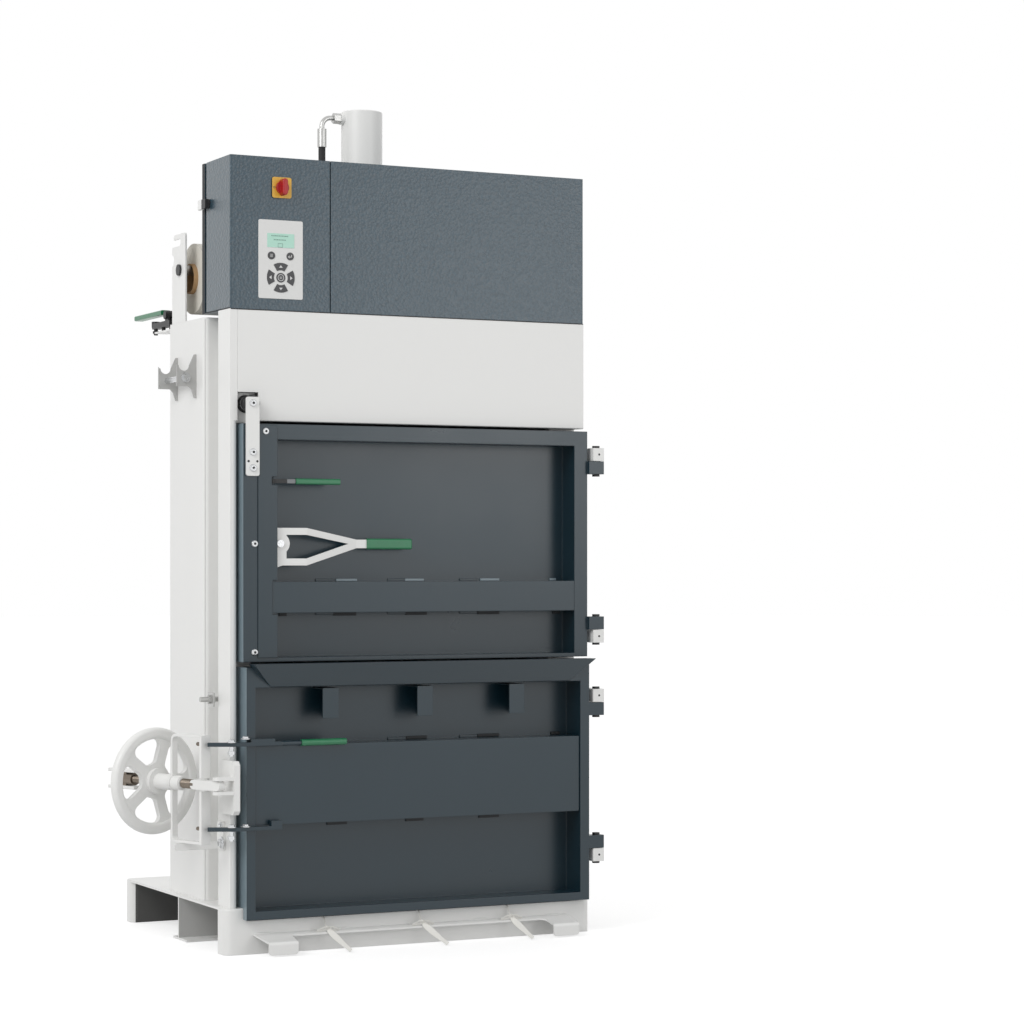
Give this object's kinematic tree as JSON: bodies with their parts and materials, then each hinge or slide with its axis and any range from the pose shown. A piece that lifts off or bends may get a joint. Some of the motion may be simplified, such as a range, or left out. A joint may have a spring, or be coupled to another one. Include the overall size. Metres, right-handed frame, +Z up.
{
  "type": "vertical baling press",
  "caption": "Upright recycling baler: white press frame, dark upper and lower doors, screw clamp with handwheel, control hood, hydraulic cylinder and strap reel.",
  "frame": {"origin": "on the floor, under the middle of the front plane of the white panel and the hood", "axes": "+X to the right along the front, +Y to the back, +Z up"},
  "size_m": [1.1868, 0.7773, 1.985],
  "materials": {
    "white_paint": "white semi-gloss paint on folded plate",
    "dark_paint": "dark blue-grey semi-gloss paint",
    "hammer_paint": "dark grey hammered paint",
    "grey_paint": "grey painted or zinc-plated steel",
    "bare_steel": "bare or plated steel",
    "green_plastic": "green dipped plastic grips",
    "black_plastic": "black moulded plastic",
    "black_rubber": "black rubber",
    "strap_roll": "white woven strap wound on a brown card core",
    "strap": "white woven strap",
    "keypad": "pale membrane keypad",
    "yellow_plastic": "yellow plate",
    "red_plastic": "red rotary handle"
  },
  "bodies": {
    "frame": {"base_frame": "white_paint", "strap_shelf": "white_paint", "chamber_shell": "white_paint", "left_post": "white_paint", "right_post": "white_paint", "side_columns": "white_paint", "head_plate": "white_paint", "front_panel": "white_paint", "hood_frame": "hammer_paint", "right_cover": "hammer_paint", "pump_motor": "grey_paint", "oil_tank": "grey_paint", "cylinder_tube": "white_paint", "hose_elbow": "bare_steel", "pressure_hose": "black_rubber", "reel_brackets": "white_paint", "reel_axle": "bare_steel", "axle_plugs": "black_plastic", "holder_plates": "bare_steel", "holder_bolt": "bare_steel", "clamp_base": "black_plastic", "frame_hinges": "white_paint", "hinge_pins": "bare_steel", "lock_block": "white_paint", "yoke_rest": "white_paint", "door_switch": "bare_steel", "switch_cable": "black_rubber", "strap_end_1": "strap", "strap_end_2": "strap", "strap_end_3": "strap"},
    "control_cover": {"control_cover": "hammer_paint", "control_panel": "keypad", "switch_plate": "yellow_plastic"},
    "main_switch": {"switch_knob": "red_plastic"},
    "cover_latch": {"cover_latch": "black_plastic"},
    "ram": {"piston_rod": "bare_steel", "press_plate": "grey_paint"},
    "upper_door": {"upper_door_pan": "dark_paint", "upper_door_bar": "dark_paint", "stile_cover": "dark_paint", "interlock_strap": "white_paint", "interlock_buffer": "black_plastic"},
    "lock_lever": {"fork_lever": "white_paint", "fork_grip": "green_plastic"},
    "latch_handle": {"latch_lever": "bare_steel", "latch_grip": "green_plastic"},
    "lower_door": {"lower_door_pan": "dark_paint", "lower_door_bar": "dark_paint", "chute_lip": "dark_paint", "strap_pockets": "dark_paint", "lock_arms": "dark_paint", "pull_grip": "green_plastic"},
    "lock_spindle": {"clamp_spindle": "bare_steel"},
    "yoke": {"clamp_yoke": "white_paint"},
    "handwheel": {"handwheel": "white_paint"},
    "roll_1": {"strap_roll_1": "strap_roll"},
    "roll_2": {"strap_roll_2": "strap_roll"},
    "roll_3": {"strap_roll_3": "strap_roll"},
    "clamp_lever": {"clamp_lever": "black_plastic", "clamp_grip": "green_plastic"}
  },
  "joints": [
    {"name": "ram_slide", "type": "slide", "parent": "frame", "child": "ram", "axis": [0, 0, 1], "range_m": [-0.42, 0]},
    {"name": "upper_door_swing", "type": "hinge", "parent": "frame", "child": "upper_door", "pos_m": [0.4795, -0.016, 0.93], "axis": [0, 0, 1], "range_deg": [0, 115]},
    {"name": "lower_door_swing", "type": "hinge", "parent": "frame", "child": "lower_door", "pos_m": [0.4795, -0.016, 0.37], "axis": [0, 0, 1], "range_deg": [0, 110]},
    {"name": "lock_lever_turn", "type": "hinge", "parent": "upper_door", "child": "lock_lever", "pos_m": [-0.338, 0, 0.933], "axis": [0, -1, 0], "range_deg": [0, 35]},
    {"name": "latch_handle_turn", "type": "hinge", "parent": "upper_door", "child": "latch_handle", "pos_m": [-0.353, -0.004, 1.0755], "axis": [0, 0, -1], "range_deg": [0, 30]},
    {"name": "control_cover_swing", "type": "hinge", "parent": "frame", "child": "control_cover", "pos_m": [-0.2095, 0, 1.64], "axis": [0, 0, 1], "range_deg": [0, 100]},
    {"name": "main_switch_turn", "type": "hinge", "parent": "control_cover", "child": "main_switch", "pos_m": [-0.3295, 0, 1.746], "axis": [0, 1, 0], "range_deg": [0, 90]},
    {"name": "cover_latch_turn", "type": "hinge", "parent": "control_cover", "child": "cover_latch", "pos_m": [-0.4537, 0.138, 1.718], "axis": [1, 0, 0], "range_deg": [0, 90]},
    {"name": "lock_spindle_swing", "type": "hinge", "parent": "frame", "child": "lock_spindle", "pos_m": [-0.498, -0.047, 0.388], "axis": [0, 0, 1], "range_deg": [0, 60]},
    {"name": "yoke_slide", "type": "slide", "parent": "lock_spindle", "child": "yoke", "axis": [-0.342, 0.9397, 0], "range_m": [0, 0.018]},
    {"name": "handwheel_turn", "type": "hinge", "parent": "yoke", "child": "handwheel", "pos_m": [-0.498, -0.047, 0.388], "axis": [-0.342, 0.9397, 0], "range_deg": [0, 1080]},
    {"name": "strap_roll_1_spin", "type": "hinge", "parent": "frame", "child": "roll_1", "pos_m": [-0.377, 0.335, 1.5643], "axis": [1, 0, 0], "continuous": true},
    {"name": "strap_roll_2_spin", "type": "hinge", "parent": "frame", "child": "roll_2", "pos_m": [-0.271, 0.335, 1.5643], "axis": [1, 0, 0], "continuous": true},
    {"name": "strap_roll_3_spin", "type": "hinge", "parent": "frame", "child": "roll_3", "pos_m": [-0.165, 0.335, 1.5643], "axis": [1, 0, 0], "continuous": true},
    {"name": "clamp_lever_turn", "type": "hinge", "parent": "frame", "child": "clamp_lever", "pos_m": [-0.435, 0.452, 1.487], "axis": [1, 0, 0], "range_deg": [0, 90]}
  ],
  "couplings": [
    {"joint": "yoke_slide", "follows": "handwheel_turn", "m_per_rad": 0.00095493}
  ]
}
